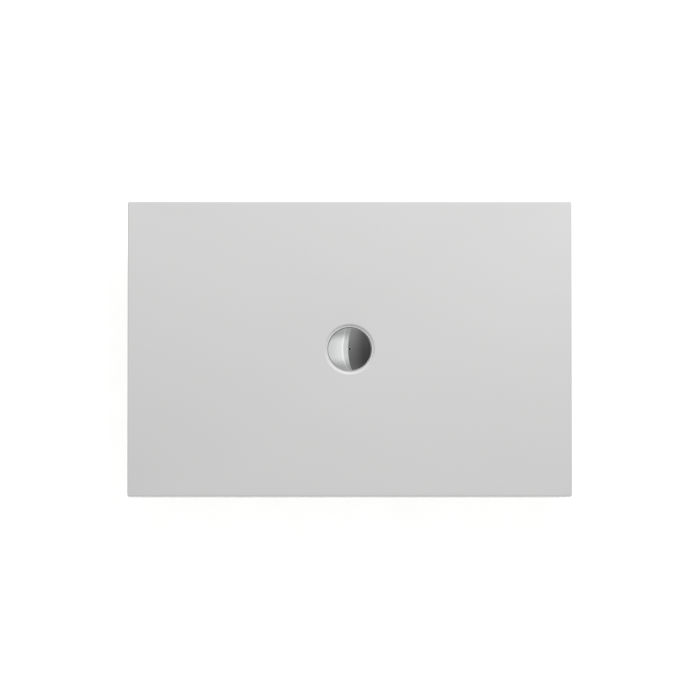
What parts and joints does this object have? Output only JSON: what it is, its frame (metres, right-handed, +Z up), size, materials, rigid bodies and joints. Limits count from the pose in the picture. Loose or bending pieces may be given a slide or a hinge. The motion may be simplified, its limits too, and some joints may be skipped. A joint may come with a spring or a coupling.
{
  "type": "shower tray",
  "caption": "Flat rectangular shower tray with a central domed waste cover, on a steel frame with screw feet, with a trap and outlet bend.",
  "frame": {"origin": "on the floor under the middle of the tray, which is also the waste's axis", "axes": "+X along the long side, +Y to the rear long side where the outlet points, +Z up"},
  "size_m": [1.2, 0.8, 0.165],
  "materials": {
    "white_acrylic": "smooth sanitary acrylic, half gloss",
    "core_foam": "rigid closed-cell foam, cut faces",
    "chipboard": "sealed chipboard, pressed chips showing",
    "strip_rubber": "matt cellular rubber",
    "galvanised_steel": "galvanised, faint spangle",
    "zinc_plating": "bright zinc plating",
    "stainless_steel": "pressed stainless steel, satin",
    "chrome_plating": "polished chrome plating",
    "black_plastic": "moulded, fine grain",
    "white_plastic": "moulded polypropylene, silky",
    "grey_plastic": "moulded polypropylene, silky",
    "pipe_plastic": "extruded pipe, silky",
    "black_rubber": "matt moulded rubber"
  },
  "bodies": {
    "tray": {"tray_shell": "white_acrylic", "foam_core": "core_foam", "base_board": "chipboard", "support_strip_front": "strip_rubber", "support_strip_rear": "strip_rubber", "support_strip_left": "strip_rubber", "support_strip_right": "strip_rubber", "long_rail_front": "galvanised_steel", "long_rail_rear": "galvanised_steel", "cross_rail_left": "galvanised_steel", "cross_rail_right": "galvanised_steel", "corner_brackets": "galvanised_steel", "bracket_screws": "zinc_plating", "rail_screws": "zinc_plating", "rail_end_caps": "black_plastic", "rivet_nuts": "zinc_plating", "lock_nuts": "zinc_plating", "upper_seal": "black_rubber", "waste_flange": "stainless_steel", "flange_screws": "stainless_steel", "lower_seal": "black_rubber", "trap_body": "white_plastic", "outlet_seal": "black_rubber", "outlet_nut": "white_plastic"},
    "trap_insert": {"trap_insert": "grey_plastic", "insert_seal": "black_rubber"},
    "cover": {"waste_cover": "chrome_plating", "cover_carrier": "grey_plastic"},
    "outlet_bend": {"outlet_bend": "pipe_plastic"},
    "foot_front_left": {"foot_front_left_pad": "black_plastic", "foot_front_left_sole": "black_rubber"},
    "spindle_front_left": {"foot_front_left_spindle": "zinc_plating"},
    "foot_front_middle": {"foot_front_middle_pad": "black_plastic", "foot_front_middle_sole": "black_rubber"},
    "spindle_front_middle": {"foot_front_middle_spindle": "zinc_plating"},
    "foot_front_right": {"foot_front_right_pad": "black_plastic", "foot_front_right_sole": "black_rubber"},
    "spindle_front_right": {"foot_front_right_spindle": "zinc_plating"},
    "foot_rear_left": {"foot_rear_left_pad": "black_plastic", "foot_rear_left_sole": "black_rubber"},
    "spindle_rear_left": {"foot_rear_left_spindle": "zinc_plating"},
    "foot_rear_middle": {"foot_rear_middle_pad": "black_plastic", "foot_rear_middle_sole": "black_rubber"},
    "spindle_rear_middle": {"foot_rear_middle_spindle": "zinc_plating"},
    "foot_rear_right": {"foot_rear_right_pad": "black_plastic", "foot_rear_right_sole": "black_rubber"},
    "spindle_rear_right": {"foot_rear_right_spindle": "zinc_plating"}
  },
  "joints": [
    {"name": "insert_lift", "type": "slide", "parent": "tray", "child": "trap_insert", "axis": [0, 0, 1], "range_m": [0, 0.11]},
    {"name": "cover_lift", "type": "slide", "parent": "trap_insert", "child": "cover", "axis": [0, 0, 1], "range_m": [0, 0.06]},
    {"name": "bend_swivel", "type": "hinge", "parent": "tray", "child": "outlet_bend", "pos_m": [0, 0.11, 0.095], "axis": [0, 1, 0], "range_deg": [-15, 195]},
    {"name": "foot_front_left_height", "type": "slide", "parent": "tray", "child": "foot_front_left", "axis": [0, 0, 1], "range_m": [0, 0.022]},
    {"name": "foot_front_left_turn", "type": "hinge", "parent": "foot_front_left", "child": "spindle_front_left", "pos_m": [-0.5, -0.25, 0.05], "axis": [0, 0, 1], "range_deg": [0, 4526]},
    {"name": "foot_front_middle_height", "type": "slide", "parent": "tray", "child": "foot_front_middle", "axis": [0, 0, 1], "range_m": [0, 0.022]},
    {"name": "foot_front_middle_turn", "type": "hinge", "parent": "foot_front_middle", "child": "spindle_front_middle", "pos_m": [0, -0.25, 0.05], "axis": [0, 0, 1], "range_deg": [0, 4526]},
    {"name": "foot_front_right_height", "type": "slide", "parent": "tray", "child": "foot_front_right", "axis": [0, 0, 1], "range_m": [0, 0.022]},
    {"name": "foot_front_right_turn", "type": "hinge", "parent": "foot_front_right", "child": "spindle_front_right", "pos_m": [0.5, -0.25, 0.05], "axis": [0, 0, 1], "range_deg": [0, 4526]},
    {"name": "foot_rear_left_height", "type": "slide", "parent": "tray", "child": "foot_rear_left", "axis": [0, 0, 1], "range_m": [0, 0.022]},
    {"name": "foot_rear_left_turn", "type": "hinge", "parent": "foot_rear_left", "child": "spindle_rear_left", "pos_m": [-0.5, 0.25, 0.05], "axis": [0, 0, 1], "range_deg": [0, 4526]},
    {"name": "foot_rear_middle_height", "type": "slide", "parent": "tray", "child": "foot_rear_middle", "axis": [0, 0, 1], "range_m": [0, 0.022]},
    {"name": "foot_rear_middle_turn", "type": "hinge", "parent": "foot_rear_middle", "child": "spindle_rear_middle", "pos_m": [0, 0.25, 0.05], "axis": [0, 0, 1], "range_deg": [0, 4526]},
    {"name": "foot_rear_right_height", "type": "slide", "parent": "tray", "child": "foot_rear_right", "axis": [0, 0, 1], "range_m": [0, 0.022]},
    {"name": "foot_rear_right_turn", "type": "hinge", "parent": "foot_rear_right", "child": "spindle_rear_right", "pos_m": [0.5, 0.25, 0.05], "axis": [0, 0, 1], "range_deg": [0, 4526]}
  ],
  "couplings": [
    {"joint": "foot_front_left_turn", "follows": "foot_front_left_height", "rad_per_m": 3590.4},
    {"joint": "foot_front_middle_turn", "follows": "foot_front_middle_height", "rad_per_m": 3590.4},
    {"joint": "foot_front_right_turn", "follows": "foot_front_right_height", "rad_per_m": 3590.4},
    {"joint": "foot_rear_left_turn", "follows": "foot_rear_left_height", "rad_per_m": 3590.4},
    {"joint": "foot_rear_middle_turn", "follows": "foot_rear_middle_height", "rad_per_m": 3590.4},
    {"joint": "foot_rear_right_turn", "follows": "foot_rear_right_height", "rad_per_m": 3590.4}
  ]
}
